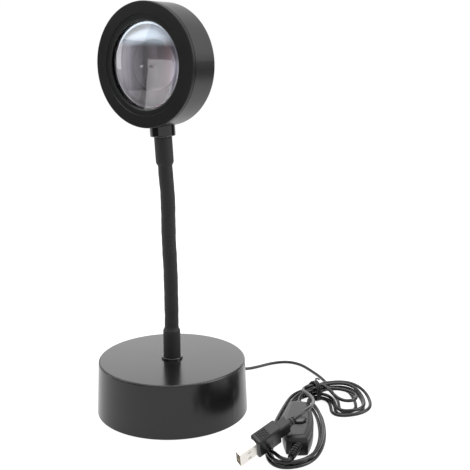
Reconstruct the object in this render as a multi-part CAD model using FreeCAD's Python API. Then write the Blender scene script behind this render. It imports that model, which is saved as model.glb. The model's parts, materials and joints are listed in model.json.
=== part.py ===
import FreeCAD, Part
import math
import os
from FreeCAD import Placement, Rotation, Vector

# Millimetres, +Z up, origin on the table under the middle of the base. The lens faces -Y.
clearance = 0.15            # parts that slide into or lie beside each other
soft_clearance = 0.3        # soft parts beside what moves

# Base: an upturned cup with a screwed cover under it.
base_radius = 50.0          # at the table
base_draft = 1.6            # the top is this much smaller in radius
base_height = 35.5          # table to top face
base_wall = 2.0
base_top_wall = 2.4
base_rim_fillet = 1.2
shell_lift = 0.6            # the cup's edge stands clear of the table
cover_thickness = 2.4
cover_recess = 0.8          # the cover's underside above the table
pad_radius = 36.0
weight_radius = 31.0
weight_thickness = 5.0
boss_circle = 42.0          # circle of the three cover bosses
boss_radius = 3.2
cover_screw_angles = (30.0, 150.0, 270.0)
cover_screw_length = 12.0

# Cord outlet at the back of the base.
cord_diameter = 2.2
cord_height = 9.0
grommet_radius = 3.6
grommet_flange = 1.6        # wider than the hole all round
grommet_tail = 5.0
clamp_length = 14.0
clamp_width = 6.0
clamp_y = 40.5

# Neck: a flexible metal tube in a sleeve, between two ferrules.
ferrule_radius = 4.9
ferrule_bore = 2.6
stud_radius = 4.0
lower_ferrule = 19.0        # above the base's top face
upper_ferrule = 15.7        # below the collar
flexible_length = 112.5
joint_count = 12
joint_half_range = 7.5      # each of two facing ends is cut back for this many degrees
coil_radius = 3.8
coil_bore = 2.5
pivot_gap = 0.1             # at each end of a tube section
sleeve_wall = 0.65
cuff_wall = 0.7
neck_drift = -3.7           # the neck's top leans this far forward
neck_bow = (0.0, 0.2, 0.35, 0.55, 0.75, 0.7, 0.65, 0.9, 1.25, 1.25, 0.5, -0.2)
ring_radius = 7.05
ring_height = 1.4
nut_flats = 13.0
nut_height = 3.2
washer_radius = 8.5
washer_thickness = 0.8
wire_radius = 1.1

# Head: a shallow drum round a lens.
head_radius = 37.8
head_depth = 22.4
head_draft = 0.2
head_wall = 1.8
head_back_wall = 2.0
head_back_fillet = 1.4
head_sway = 4.0             # degrees that the drum leans to -X at rest
collar_radius = 8.0
collar_length = 6.0         # below the drum's rim
collar_chamfer = 0.5
collar_setback = 2.7        # the collar's axis behind the drum's mid depth
bezel_stripe = 2.3
bezel_groove = 0.4
bezel_groove_depth = 0.6
bezel_step = 0.5
bezel_step_radius = 30.2
bezel_lip = 1.8
bezel_skirt = 3.2
opening_radius = 26.3
lens_radius = 28.0
lens_edge = 2.6
lens_curve = 86.0           # the front face's radius
barrel_wall = 1.4
heatsink_radius = 26.0
heatsink_thickness = 1.8
board_radius = 11.0
board_thickness = 1.6
chip_side = 9.0
chip_height = 0.8
dome_radius = 3.2
reflector_wall = 0.8
filter_radius = 15.0
filter_thickness = 0.8
holder_wall = 1.6
rear_opening = 21.0
rear_cover_radius = 24.0
rear_cover_thickness = 1.0
vent_count = 12

# Hank of cord beside the base, tied at its waist.
hank_turns = 2.0            # turns in each of the two layers
layer_step = 2.9
floor_gap = 0.1
tie_thickness = 0.8
tie_width = 3.0

# In-line switch and its reliefs.
switch_length = 52.0
switch_width = 19.5
switch_end_width = 13.0
switch_bulge = 1.2          # each end is an arc that stands out this far
switch_height = 12.5
switch_wall = 1.4
switch_fillet = 4.0
switch_centre = (91.2, 10.0)
switch_heading = 119.2      # degrees from +X, near end to far end
button_radius = 4.6
button_proud = 1.1
button_travel = 1.5
button_offset = -4.0        # towards the near end
relief_ribs = 5             # on each relief
near_relief = (13.5, -13.2)  # length, and degrees that it bends from the switch's axis
far_relief = (9.0, 0.0)
relief_radius = 3.4
relief_tip_wall = 1.0

# Plug: shell, tongue, contacts and moulded body.
plug_front = (88.6, -35.3, 10.6)
plug_axis = (-0.389, -0.846, -0.365)
plug_across = (0.888, -0.240, -0.392)
plug_block = (17.0, 8.0, 15.5)
plug_neck = (7.0, 6.6, 9.6)
plug_shell_size = (12.0, 4.5, 12.0)
plug_sheet = 0.3
plug_relief_length = 6.0


def save(name, shape):
    shape.exportStep("parts/" + name + ".step")
    print(name, len(shape.Solids), "solids", round(shape.Volume, 1), "mm3", shape.isValid())


def rod(radius, length, at=(0, 0, 0), along=(0, 0, 1)):
    return Part.makeCylinder(radius, length, Vector(*at), Vector(*along))


def tube(outer, inner, length, at=(0, 0, 0), along=(0, 0, 1)):
    start = Vector(*at) - Vector(*along).normalize()
    return rod(outer, length, at, along).cut(rod(inner, length + 2, start, along))


def block(size, centre):
    corner = Vector(*centre) - Vector(*size) * 0.5
    return Part.makeBox(size[0], size[1], size[2], corner)


def turned(profile):
    """A closed outline of (radius, height) points, turned about Z."""
    points = [Vector(r, 0, z) for r, z in profile]
    face = Part.Face(Part.makePolygon(points + points[:1]))
    return face.revolve(Vector(0, 0, 0), Vector(0, 0, 1), 360)


def around(count, shape, phase=0.0):
    """Copies of a shape, spaced evenly about Z."""
    copies = []
    for i in range(count):
        copy = shape.copy()
        copy.rotate(Vector(0, 0, 0), Vector(0, 0, 1), phase + 360.0 * i / count)
        copies.append(copy)
    return copies


def joined(shapes):
    whole = shapes[0]
    return whole.fuse(shapes[1:]).removeSplitter() if len(shapes) > 1 else whole


def screw(at, along, shank, length, head, head_height):
    """A pan head with a cross slot; the shank runs along the direction from the head's underside."""
    body = rod(head, head_height, (0, 0, -head_height)).fuse(rod(shank, length, (0, 0, -0.01)))
    slot = block((head * 1.2, head * 0.28, head_height), (0, 0, -head_height))
    across = block((head * 0.28, head * 1.2, head_height), (0, 0, -head_height))
    body = body.cut([slot, across])
    body.Placement = Placement(Vector(*at), Rotation(Vector(0, 0, 1), Vector(*along)))
    return body


def hex_nut(at, along, flats, height, bore):
    corner = flats / math.sqrt(3)
    points = [Vector(corner * math.cos(math.radians(a)), corner * math.sin(math.radians(a)), 0)
              for a in range(0, 361, 60)]
    body = Part.Face(Part.makePolygon(points)).extrude(Vector(0, 0, height))
    body = body.cut(rod(bore, height + 2, (0, 0, -1)))
    body.Placement = Placement(Vector(*at), Rotation(Vector(0, 0, 1), Vector(*along)))
    return body


# Routes: straight runs with tangent arcs, and biarcs through points with directions.

def rounded_route(points, name):
    """Runs joined by arcs of 0.45 of the shorter run over the tangent of half the turn."""
    points = [Vector(*p) for p in points]
    edges, radii, last = [], [], points[0]
    for before, corner, after in zip(points, points[1:], points[2:]):
        shorter = min((corner - before).Length, (after - corner).Length)
        back = (before - corner).normalize()
        on = (after - corner).normalize()
        half_turn = (math.pi - back.getAngle(on)) / 2
        cut = 0.45 * shorter
        radius = cut / math.tan(half_turn)
        start, end = corner + back * cut, corner + on * cut
        bisector = (back + on).normalize()
        middle = corner + bisector * (radius / math.cos(half_turn) - radius)
        edges.append(Part.LineSegment(last, start).toShape())
        edges.append(Part.Arc(start, middle, end).toShape())
        radii.append(radius)
        last = end
    edges.append(Part.LineSegment(last, points[-1]).toShape())
    print(name, "radii", [round(r, 1) for r in radii])
    return Part.Wire(edges)


def arc_between(start, corner, end):
    """The arc that leaves start towards corner and reaches end from it."""
    chord = (end - start).Length / 2
    middle = (start + end) * 0.5
    rise = (corner - middle).Length
    if rise < chord * 1e-4:
        return Part.LineSegment(start, end).toShape()
    sagitta = chord * math.tan(math.atan2(rise, chord) / 2)
    top = middle + (corner - middle).normalize() * sagitta
    return Part.Arc(start, top, end).toShape()


def biarc(start, way_out, end, way_in):
    """Two arcs with one direction where they meet."""
    gap = end - start
    ways = way_out + way_in
    spread = 2 * (1 - way_out.dot(way_in))
    along = gap.dot(ways)
    if spread < 1e-9:
        reach = gap.dot(gap) / (2 * along)
    else:
        reach = (math.sqrt(along * along + spread * gap.dot(gap)) - along) / spread
    first, second = start + way_out * reach, end - way_in * reach
    meet = (first + second) * 0.5
    return [arc_between(start, first, meet), arc_between(meet, second, end)]


def biarc_wire(stations):
    edges = []
    for (start, way_out), (end, way_in) in zip(stations, stations[1:]):
        edges += biarc(start, way_out, end, way_in)
    return Part.Wire(edges)


def swept(wire, radius):
    """A round tube along a wire, capped at both ends."""
    start = wire.OrderedEdges[0]
    at, way = start.valueAt(start.FirstParameter), start.tangentAt(start.FirstParameter)
    if (at - wire.OrderedVertexes[0].Point).Length > 1e-6:
        at, way = start.valueAt(start.LastParameter), start.tangentAt(start.LastParameter) * -1
    ring = Part.Wire(Part.Circle(at, way, radius).toShape())
    return wire.makePipeShell([ring], True, False)


def checked_tube(wire, radius, name):
    solid = swept(wire, radius)
    section = math.pi * radius * radius
    print(name, "length", round(wire.Length, 1), "volume over section x length",
          round(solid.Volume / (section * wire.Length), 4))
    return solid


# Base

cord_radius = cord_diameter / 2
base_slope = base_draft / (base_height - shell_lift)
base_inside_top = base_height - base_top_wall
cover_top = cover_recess + cover_thickness
cover_radius = base_radius - base_wall - clearance - base_slope * cover_top


def base_shell():
    low, high = base_radius, base_radius - base_draft
    outside = turned([(0, shell_lift), (low, shell_lift), (high, base_height), (0, base_height)])
    rim = [e for e in outside.Edges
           if abs(e.BoundBox.ZMin - base_height) < 1e-6 and e.Length > 2 * math.pi * high * 0.9]
    outside = outside.makeFillet(min(base_rim_fillet, base_top_wall * 0.6), rim)
    inside = turned([(0, -1), (low - base_wall, -1),
                     (high - base_wall, base_inside_top), (0, base_inside_top)])
    boss = rod(boss_radius, base_inside_top - cover_top + 0.5, (boss_circle, 0, cover_top))
    pilot = rod(1.25, cover_screw_length, (boss_circle, 0, cover_top - 1))
    bosses = [b for a in cover_screw_angles for b in around(1, boss, a)]
    pilots = [p for a in cover_screw_angles for p in around(1, pilot, a)]
    shell = outside.cut(inside).fuse(bosses)
    neck_hole = rod(stud_radius + clearance, base_top_wall * 3, (0, 0, base_height - base_top_wall * 2))
    cord_hole = rod(grommet_radius, base_radius, (0, base_radius / 2, cord_height), (0, 1, 0))
    return shell.cut(pilots + [neck_hole, cord_hole])


def base_bottom_cover():
    plate = rod(cover_radius, cover_thickness, (0, 0, cover_recess))
    ledge_top = cord_height - cord_radius - clearance
    ledge = block((clamp_length, clamp_width, ledge_top - cover_top + 0.4),
                  (0, clamp_y, (ledge_top + cover_top - 0.4) / 2))
    pad_seat = rod(pad_radius + clearance, 1, (0, 0, cover_recess - 1 + 0.4))
    hole = rod(1.6, cover_thickness * 3, (boss_circle, 0, -cover_thickness))
    sink = rod(2.9, 1.3, (boss_circle, 0, cover_recess - 0.1))
    cuts = [c for a in cover_screw_angles for c in around(1, hole.fuse(sink), a)]
    pilots = [rod(0.8, ledge_top - cover_top, (side * clamp_length * 0.33, clamp_y, cover_top))
              for side in (-1, 1)]
    return plate.fuse(ledge).cut(cuts + [pad_seat] + pilots)


def foot_pad():
    return rod(pad_radius, cover_recess + 0.4)


def cover_screws():
    screws = [screw((boss_circle, 0, cover_recess + 1.2), (0, 0, 1), 1.2, 8.0, 2.6, 1.0)]
    return Part.makeCompound([s for a in cover_screw_angles for s in around(1, screws[0], a)])


def base_weight():
    plate = rod(weight_radius, weight_thickness, (0, 0, cover_top))
    return plate.makeChamfer(0.6, plate.Edges)


def cord_grommet():
    inner_wall = base_radius - base_draft - base_wall
    outer_wall = base_radius - base_slope * (cord_height - grommet_radius)
    middle = rod(grommet_radius - 0.05, outer_wall - inner_wall + 3, (0, inner_wall - 1.5, cord_height), (0, 1, 0))
    flange = rod(grommet_radius + grommet_flange, 1.2, (0, outer_wall + 0.1, cord_height), (0, 1, 0))
    back = rod(grommet_radius + 0.8, 1.0, (0, inner_wall - 2.4, cord_height), (0, 1, 0))
    tail = Part.makeCone(grommet_radius - 0.4, cord_radius + 0.6, grommet_tail,
                         Vector(0, outer_wall + 1.2, cord_height), Vector(0, 1, 0))
    hole = rod(cord_radius + 0.05, 30, (0, inner_wall - 10, cord_height), (0, 1, 0))
    return middle.fuse([flange, back, tail]).cut(hole)


grommet_end = base_radius - base_slope * (cord_height - grommet_radius) + 1.2 + grommet_tail


def cord_clamp():
    bar = block((clamp_length, clamp_width, 2.0), (0, clamp_y, cord_height + cord_radius + 0.6))
    saddle = rod(cord_radius + 0.05, clamp_width + 2, (0, clamp_y - clamp_width / 2 - 1, cord_height), (0, 1, 0))
    holes = [rod(1.1, 6, (side * clamp_length * 0.33, clamp_y, cord_height)) for side in (-1, 1)]
    return bar.cut([saddle] + holes)


def cord_clamp_screws():
    top = cord_height + cord_radius + 1.6
    drop = top - (cord_height - cord_radius - clearance) + 2.6
    return Part.makeCompound([screw((side * clamp_length * 0.33, clamp_y, top), (0, 0, -1),
                                    0.8, drop, 1.7, 0.9) for side in (-1, 1)])


# Neck

def neck_stations():
    """The twelve pivots, from the lower ferrule's end to the upper ferrule's."""
    pivots = []
    for i in range(joint_count):
        t = i / (joint_count - 1)
        height = base_height + lower_ferrule + flexible_length * t
        pivots.append(Vector(neck_bow[i], neck_drift * t * t * (3 - 2 * t), height))
    return pivots


pivots = neck_stations()
sway = math.radians(head_sway)
head_up = Vector(-math.sin(sway), 0, math.cos(sway))
head_front = Vector(0, -1, 0)
collar_foot = pivots[-1] + head_up * upper_ferrule
head_centre = collar_foot + head_up * (collar_length + head_radius) + head_front * collar_setback
head_place = Placement(head_centre, Rotation(head_up.cross(head_front), head_up, head_front, "ZXY"))


def to_head(shape):
    """From the drum's own frame (Y up, Z along the light) to its place."""
    placed = shape.copy()
    placed.Placement = head_place.multiply(placed.Placement)
    return placed


def neck_way(i):
    if i == 0:
        return Vector(0, 0, 1)
    if i == joint_count - 1:
        return Vector(head_up)
    return (pivots[i + 1] - pivots[i - 1]).normalize()


relief_slope = math.tan(math.radians(joint_half_range + 0.8))


def coil_section(i):
    start, end = pivots[i], pivots[i + 1]
    length = (end - start).Length
    low_in, low_out = pivot_gap + coil_bore * relief_slope, pivot_gap + coil_radius * relief_slope
    section = turned([(coil_bore, low_in), (coil_radius, low_out),
                      (coil_radius, length - low_out), (coil_bore, length - low_in)])
    section.Placement = Placement(start, Rotation(Vector(0, 0, 1), end - start))
    return section


def ferrule(length, stud):
    """Its relieved end at the origin, the body along +Z and a threaded stud past it."""
    low_in, low_out = pivot_gap + ferrule_bore * relief_slope, pivot_gap + ferrule_radius * relief_slope
    body = turned([(ferrule_bore, low_in), (ferrule_radius, low_out), (ferrule_radius, length),
                   (stud_radius, length), (stud_radius, length + stud), (ferrule_bore, length + stud)])
    grooves = [tube(stud_radius + 1, stud_radius - 0.25, 0.5, (0, 0, length + 1.0 + k * 1.0))
               for k in range(int(stud - 1.5))]
    return body.cut(grooves) if grooves else body


lower_stud = base_top_wall + washer_thickness + nut_height + 2.0
upper_stud_seat = collar_length + head_radius - math.sqrt(head_radius ** 2 - stud_radius ** 2)


def neck_lower_ferrule():
    part = ferrule(lower_ferrule, lower_stud)
    part.Placement = Placement(pivots[0], Rotation(Vector(1, 0, 0), 180))
    return part


def neck_upper_ferrule():
    part = ferrule(upper_ferrule + collar_length - 1.5, 1.5 + head_wall + nut_height + 3.4)
    part.Placement = Placement(pivots[-1], Rotation(Vector(0, 0, 1), head_up))
    return part


def neck_base_ring():
    ring = tube(ring_radius, ferrule_radius + cuff_wall + soft_clearance, ring_height, (0, 0, base_height))
    top = [e for e in ring.Edges
           if abs(e.BoundBox.ZMin - base_height - ring_height) < 1e-6 and e.Length > 2 * math.pi * ring_radius * 0.95]
    return ring.makeFillet(0.5, top)


def neck_lock_nut():
    return hex_nut((0, 0, base_inside_top - washer_thickness - nut_height), (0, 0, 1),
                   nut_flats, nut_height, stud_radius + 0.02)


def neck_lock_washer():
    return tube(washer_radius, stud_radius + 0.05, washer_thickness, (0, 0, base_inside_top - washer_thickness))


def neck_wire_route():
    """From inside the base to inside the drum, along the pivots."""
    low = Vector(0, 0, base_inside_top - lower_stud - 1.0)
    high = collar_foot + head_up * (collar_length + head_wall + nut_height + 5.0)
    stations = [(low, Vector(0, 0, 1))]
    stations += [(pivots[i], neck_way(i)) for i in range(joint_count)]
    stations += [(high, Vector(head_up))]
    return biarc_wire(stations)


def neck_sleeve():
    """A thin sleeve over the flexible tube, stretched wider over the two ferrules."""
    stations = [(pivots[0] - Vector(0, 0, 2), Vector(0, 0, 1))]
    stations += [(pivots[i], neck_way(i)) for i in range(joint_count)]
    stations += [(pivots[-1] + head_up * 2, Vector(head_up))]
    wire = biarc_wire(stations)
    bore = coil_radius + clearance
    cuff_bore = ferrule_radius + clearance / 2
    foot = Vector(0, 0, base_height + 0.2)
    top = collar_foot - head_up * 0.3
    lower = rod(cuff_bore + cuff_wall, (pivots[0] - foot).z + 1.2, foot)
    lower_in = rod(cuff_bore, (pivots[0] - foot).z + 1.2, foot - Vector(0, 0, 0.4))
    start = pivots[-1] - head_up * 1.2
    upper = rod(cuff_bore + cuff_wall, (top - start).Length, start, head_up)
    upper_in = rod(cuff_bore, (top - start).Length, start + head_up * 0.4, head_up)
    skin = swept(wire, bore + sleeve_wall).fuse([lower, upper])
    return skin.cut([swept(wire, bore), lower_in, upper_in])


# Head, in the drum's own frame

front = head_depth / 2
back = -head_depth / 2
bezel_back = front - bezel_stripe
housing_front = bezel_back - bezel_groove
lip_back = front - bezel_step - bezel_lip
lens_sag = lens_curve - math.sqrt(lens_curve ** 2 - lens_radius ** 2)
lip_sag = lens_curve - math.sqrt(lens_curve ** 2 - opening_radius ** 2)
lens_apex = lip_back - soft_clearance + lip_sag
lens_rim_front = lens_apex - lens_sag
lens_back = lens_rim_front - lens_edge
inner_floor = back + head_back_wall
board_back = inner_floor + heatsink_thickness
board_front = board_back + board_thickness
filter_level = board_front + 4.6
lead_level = board_back + wire_radius + 0.1


def drum_hole(radius, setback):
    """A hole up through the drum's rim, where the neck enters."""
    return rod(radius, head_radius * 0.5, (0, -head_radius - 5, -setback), (0, 1, 0))


def head_housing():
    outside = turned([(0, back), (head_radius - head_draft, back), (head_radius, housing_front), (0, housing_front)])
    rim = [e for e in outside.Edges
           if abs(e.BoundBox.ZMax - back) < 1e-6 and e.Length > 2 * math.pi * head_radius * 0.9]
    outside = outside.makeFillet(min(head_back_fillet, head_back_wall * 0.8), rim)
    inside = rod(head_radius - head_wall, head_depth, (0, 0, inner_floor))
    opening = rod(rear_opening, head_depth, (0, 0, back - 1))
    rebate = rod(rear_cover_radius + clearance, rear_cover_thickness, (0, 0, back))
    pilots = around(3, rod(0.8, head_back_wall - 0.2, (23.6, 0, inner_floor - head_back_wall + 1.1)), 30)
    return outside.cut([inside, opening, rebate, drum_hole(stud_radius + clearance, collar_setback)] + pilots)


def head_rear_cover():
    disc = rod(rear_cover_radius, rear_cover_thickness, (0, 0, back))
    slot = block((9.0, 1.8, 4.0), (13.5, 0, back))
    ends = [rod(0.9, 4, (x, 0, back - 2)) for x in (9.0, 18.0)]
    return disc.cut(around(vent_count, slot.fuse(ends)) + [rod(2.0, 4, (0, 0, back - 2))])


def head_bezel():
    shoulder = head_radius - head_wall - clearance
    neck = head_radius - bezel_groove_depth
    profile = [(opening_radius, lip_back), (opening_radius, front - bezel_step - 0.5),
               (opening_radius + 0.9, front - bezel_step), (bezel_step_radius, front - bezel_step),
               (bezel_step_radius + 0.3, front), (head_radius - 0.45, front), (head_radius, front - 0.45),
               (head_radius, bezel_back), (neck, bezel_back), (neck, housing_front + 0.02),
               (shoulder, housing_front + 0.02), (shoulder, housing_front - bezel_skirt),
               (shoulder - 1.4, housing_front - bezel_skirt), (shoulder - 1.4, lip_back)]
    return turned(profile)


def lens():
    """Flat behind and domed in front, with a plain rim."""
    ball = Part.makeSphere(lens_curve, Vector(0, 0, lens_apex - lens_curve))
    return rod(lens_radius, lens_apex - lens_back + 1, (0, 0, lens_back)).common(ball)


def lens_seal():
    circle = lens_radius - 0.75
    ball_centre = lens_apex - lens_curve
    surface = ball_centre + math.sqrt(lens_curve ** 2 - circle ** 2)
    middle = (lip_back + surface) / 2
    room = min(lip_back - middle, math.hypot(circle, middle - ball_centre) - lens_curve)
    return Part.makeTorus(circle, room - 0.02, Vector(0, 0, middle))


def lead_slot():
    return block((3.6, head_radius, 4.2), (0, -head_radius / 2 - 8, lead_level + 0.4))


def lens_barrel():
    outer = lens_radius + clearance + barrel_wall
    wall = tube(outer, lens_radius + clearance, lens_rim_front - inner_floor, (0, 0, inner_floor))
    ledge = tube(outer, lens_radius - 1.6, 1.2, (0, 0, lens_back - 1.2))
    return wall.fuse(ledge).cut([lead_slot(), drum_hole(stud_radius + 1.5, collar_setback)])


def led_heatsink():
    plate = rod(heatsink_radius, heatsink_thickness, (0, 0, inner_floor))
    holes = around(3, rod(1.1, 6, (23.6, 0, inner_floor - 2)), 30)
    pilots = around(2, rod(0.7, heatsink_thickness, (board_radius - 2.2, 0, inner_floor + 0.3)), 90)
    fins = [tube(r, r - 1.0, head_back_wall - rear_cover_thickness - 0.2,
                 (0, 0, back + rear_cover_thickness + 0.2)) for r in (8.0, 12.0, 16.0, 20.0)]
    return joined([plate] + fins).cut(holes + pilots)


def heatsink_screws():
    length = heatsink_thickness + 0.7
    one = screw((23.6, 0, board_back), (0, 0, -1), 0.75, length, 1.7, 1.0)
    return Part.makeCompound(around(3, one, 30))


def led_board():
    holes = around(2, rod(0.95, 6, (board_radius - 2.2, 0, board_back - 2)), 90)
    pads = [block((2.2, 1.6, 0.3), (x, -board_radius + 2.0, board_front + 0.1)) for x in (-4.4, 4.4)]
    resistors = [block((3.2, 1.6, 0.7), (x, 6.8, board_front + 0.3)) for x in (-5.0, 5.0)]
    return rod(board_radius, board_thickness, (0, 0, board_back)).cut(holes).fuse(pads + resistors)


def led_chip():
    base = block((chip_side, chip_side, chip_height), (0, 0, board_front + chip_height / 2 + 0.02))
    dome = Part.makeSphere(dome_radius, Vector(0, 0, board_front + chip_height))
    above = rod(dome_radius + 1, dome_radius + 1, (0, 0, board_front + chip_height / 2))
    return base.fuse(dome.common(above))


def led_board_screws():
    one = screw((board_radius - 2.2, 0, board_front), (0, 0, -1), 0.65, board_thickness + 1.2, 1.5, 0.8)
    return Part.makeCompound(around(2, one, 90))


def filter_holder():
    """A collar on the heatsink that carries the coloured glass on a ledge."""
    outer = filter_radius + clearance + holder_wall
    wall = tube(outer, filter_radius + clearance, filter_level + filter_thickness - board_back, (0, 0, board_back))
    ledge = tube(outer, filter_radius - 1.2, 1.0, (0, 0, filter_level - 1.0))
    return wall.fuse(ledge).cut(lead_slot())


def sunset_filter():
    return rod(filter_radius, filter_thickness, (0, 0, filter_level))


def reflector():
    """A shallow polished bowl that opens from the filter's rim to the lens."""
    low, high = filter_level + filter_thickness + 0.1, lens_back - 0.2
    r_low, r_high = filter_radius - 0.8, lens_radius - 4.0
    middle = (r_high ** 2 - r_low ** 2 + high ** 2 - low ** 2) / (2 * (high - low))
    radius = math.hypot(r_low, middle - low)
    slab = rod(lens_radius, high - low, (0, 0, low))
    bowl = slab.common(Part.makeSphere(radius + reflector_wall, Vector(0, 0, middle)))
    return bowl.cut(Part.makeSphere(radius, Vector(0, 0, middle)))


def head_lead_route():
    foot = collar_length + head_radius
    level = -(foot - (collar_length + head_wall + nut_height + 5.0))
    return [(0, level, -collar_setback), (0, level + 3.4, -collar_setback),
            (0, level + 8.6, lead_level + 0.9), (0, level + 14.2, lead_level), (0, -board_radius - 0.4, lead_level)]


def head_collar():
    height = collar_length + head_radius * 0.4
    body = rod(collar_radius, height, (0, -collar_length - head_radius, -collar_setback), (0, 1, 0))
    edge = [e for e in body.Edges if abs(e.BoundBox.YMax + collar_length + head_radius) < 1e-6]
    body = body.makeChamfer(collar_chamfer, edge)
    bore = rod(ferrule_radius + 0.03, collar_length - 1.5, (0, -collar_length - head_radius, -collar_setback), (0, 1, 0))
    stud = rod(stud_radius + 0.03, height + 2, (0, -collar_length - head_radius - 1, -collar_setback), (0, 1, 0))
    drum = Part.makeCone(head_radius - head_draft + 0.02, head_radius + 0.02, housing_front - back, Vector(0, 0, back))
    drum = drum.fuse(rod(head_radius + 0.02, head_depth, (0, 0, housing_front)))
    return body.cut([drum, bore, stud])


def neck_head_nut():
    rim = math.sqrt((head_radius - head_wall) ** 2 - (nut_flats / math.sqrt(3)) ** 2)
    return hex_nut((0, -rim + 0.1, -collar_setback), (0, 1, 0), nut_flats, nut_height, stud_radius + 0.02)


# Hank: every station is (x, y, heading, step of the lower turns, step of the upper turns, lift) on
# its outermost turn, in the order of travel, anticlockwise seen from above.
hank_stations = [
    (99.0, 45.0, 2.0, 6.0, 7.0, 0.0),
    (114.5, 62.0, 92.0, 6.0, 4.8, 0.0),
    (102.0, 85.0, 145.0, 5.6, 4.4, 0.6),
    (86.0, 91.0, 188.0, 4.6, 3.4, 2.7),
    (71.5, 79.5, 230.0, 3.0, 2.8, 2.9),
    (66.8, 70.5, 252.0, 2.8, 2.8, 1.0),
    (61.5, 57.0, 260.0, 2.9, 2.9, 0.9),
    (64.0, 39.0, 286.0, 2.9, 2.9, 0.0),
    (86.0, -20.5, 301.0, 2.9, 2.9, 0.0),
    (103.5, -34.0, 352.0, 3.4, 3.4, 0.0),
    (116.5, -19.5, 93.0, 2.8, 2.8, 0.0),
    (111.0, 9.5, 112.0, 2.8, 2.8, 0.0),
    (91.0, 41.5, 131.0, 3.0, 3.0, 0.0),
    (76.2, 56.4, 121.0, 2.8, 2.8, 1.0),
    (76.6, 62.6, 50.0, 2.8, 2.8, 1.0),
    (83.8, 63.0, 316.0, 3.0, 3.0, 0.4),
]
hank_first = -1             # the station where the free run joins the innermost lower turn
hank_last = 8               # the station where the inner upper turn leaves for the switch


def hank_station(number):
    """One station of the tube: layer 0 spirals outwards, layer 1 inwards and above it."""
    count = len(hank_stations)
    x, y, heading, low_step, high_step, lift = hank_stations[number % count]
    turn = number / count
    climb_start = hank_turns - 2.0 / count
    climb_end = hank_turns + 2.0 / count
    climb = min(max((turn - climb_start) / (climb_end - climb_start), 0.0), 1.0)
    inwards = abs(hank_turns - turn) * (low_step if turn < hank_turns else high_step)
    angle = math.radians(heading)
    height = cord_radius + floor_gap + lift + layer_step * climb
    return Vector(x - math.sin(angle) * inwards, y + math.cos(angle) * inwards, height)


def slope_between(start, end):
    level = math.hypot(end.x - start.x, end.y - start.y)
    return (end.z - start.z) / level if level > 0 else 0


def hank_route():
    count = len(hank_stations)
    numbers = range(hank_first, int(2 * hank_turns - 1) * count + hank_last + 1)
    points = [hank_station(n) for n in numbers]
    ways = []
    for i, n in enumerate(numbers):
        angle = math.radians(hank_stations[n % count][2])
        flat = Vector(math.cos(angle), math.sin(angle), 0)
        rise_in = slope_between(points[max(i - 1, 0)], points[i])
        rise_out = slope_between(points[i], points[min(i + 1, len(points) - 1)])
        slope = 2 * rise_in * rise_out / (rise_in + rise_out) if rise_in * rise_out > 0 else 0
        ways.append((flat + Vector(0, 0, slope)).normalize())
    return list(zip(points, ways))


def least_gap(wire, radius, name):
    """The least gap of a tube to itself, on points, with neighbours along the tube left out."""
    count = int(wire.Length / 1.2)
    points = wire.discretize(Number=count)
    skip = int(6 * radius / 1.2)
    cell = 6.0
    grid = {}
    for i, p in enumerate(points):
        grid.setdefault((int(p.x // cell), int(p.y // cell)), []).append(i)
    least, where = 99.0, None
    for (cx, cy), inside in grid.items():
        near = [j for dx in (-1, 0, 1) for dy in (-1, 0, 1) for j in grid.get((cx + dx, cy + dy), [])]
        for i in inside:
            for j in near:
                if j - i > skip:
                    gap = (points[i] - points[j]).Length
                    if gap < least:
                        least, where = gap, (points[i], i, j)
    print(name, "least gap", round(least - 2 * radius, 2), "at", where[0], where[1], where[2])


# Cord routes between the pieces, chosen by hand.
hank_path = hank_route()
hank_start, hank_end = hank_path[0][0], hank_path[-1][0]
cord_free_points = [
    (0.0, grommet_end, cord_height), (0.0, 62.5, cord_height), (1.6, 71.5, 5.4), (5.0, 80.5, 1.6),
    (9.8, 91.5, 1.2), (14.0, 103.0, 1.2), (22.0, 112.6, 1.2), (33.5, 113.4, 1.2), (46.0, 107.0, 1.2),
    (58.0, 99.8, 1.2), (69.0, 91.0, 1.2), (76.6, 82.0, 1.2),
    tuple(hank_start - hank_path[0][1] * 8.0), tuple(hank_start),
]


def switch_local(along, across, height):
    """A point of the switch's own frame: along its length from its middle, across it, above the table."""
    angle = math.radians(switch_heading)
    return Vector(switch_centre[0] + along * math.cos(angle) - across * math.sin(angle),
                  switch_centre[1] + along * math.sin(angle) + across * math.cos(angle), height)


def to_switch(shape):
    placed = shape.copy()
    spot = Placement(switch_local(0, 0, 0), Rotation(Vector(0, 0, 1), switch_heading))
    placed.Placement = spot.multiply(placed.Placement)
    return placed


switch_axis_height = floor_gap + switch_height / 2
switch_reach = switch_length / 2 + switch_bulge


def relief_tip(side, past=0.0):
    """The end of a switch relief, or a point that far past it, in the object's frame."""
    length, bend = near_relief if side < 0 else far_relief
    angle = math.radians(bend)
    reach = length + past
    return switch_local(side * (switch_reach + reach * math.cos(angle)),
                        side * reach * math.sin(angle), switch_axis_height)


switch_lead_points = [
    tuple(hank_end), tuple(hank_end + hank_path[-1][1] * 4.2), (95.7, -25.6, 5.2), (100.2, -29.4, 6.3),
    (104.4, -32.0, 6.8), (107.9, -31.8, 6.8), tuple(relief_tip(-1, 3.2)), tuple(relief_tip(-1)),
]

plug_x = Vector(*plug_axis).normalize()
plug_z = plug_x.cross(Vector(*plug_across)).normalize()
plug_y = plug_z.cross(plug_x)
plug_place = Placement(Vector(*plug_front), Rotation(plug_x, plug_y, plug_z, "XYZ"))
plug_tail = plug_block[0] + plug_neck[0] + plug_relief_length


def plug_local(along):
    return Vector(*plug_front) - plug_x * along


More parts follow.
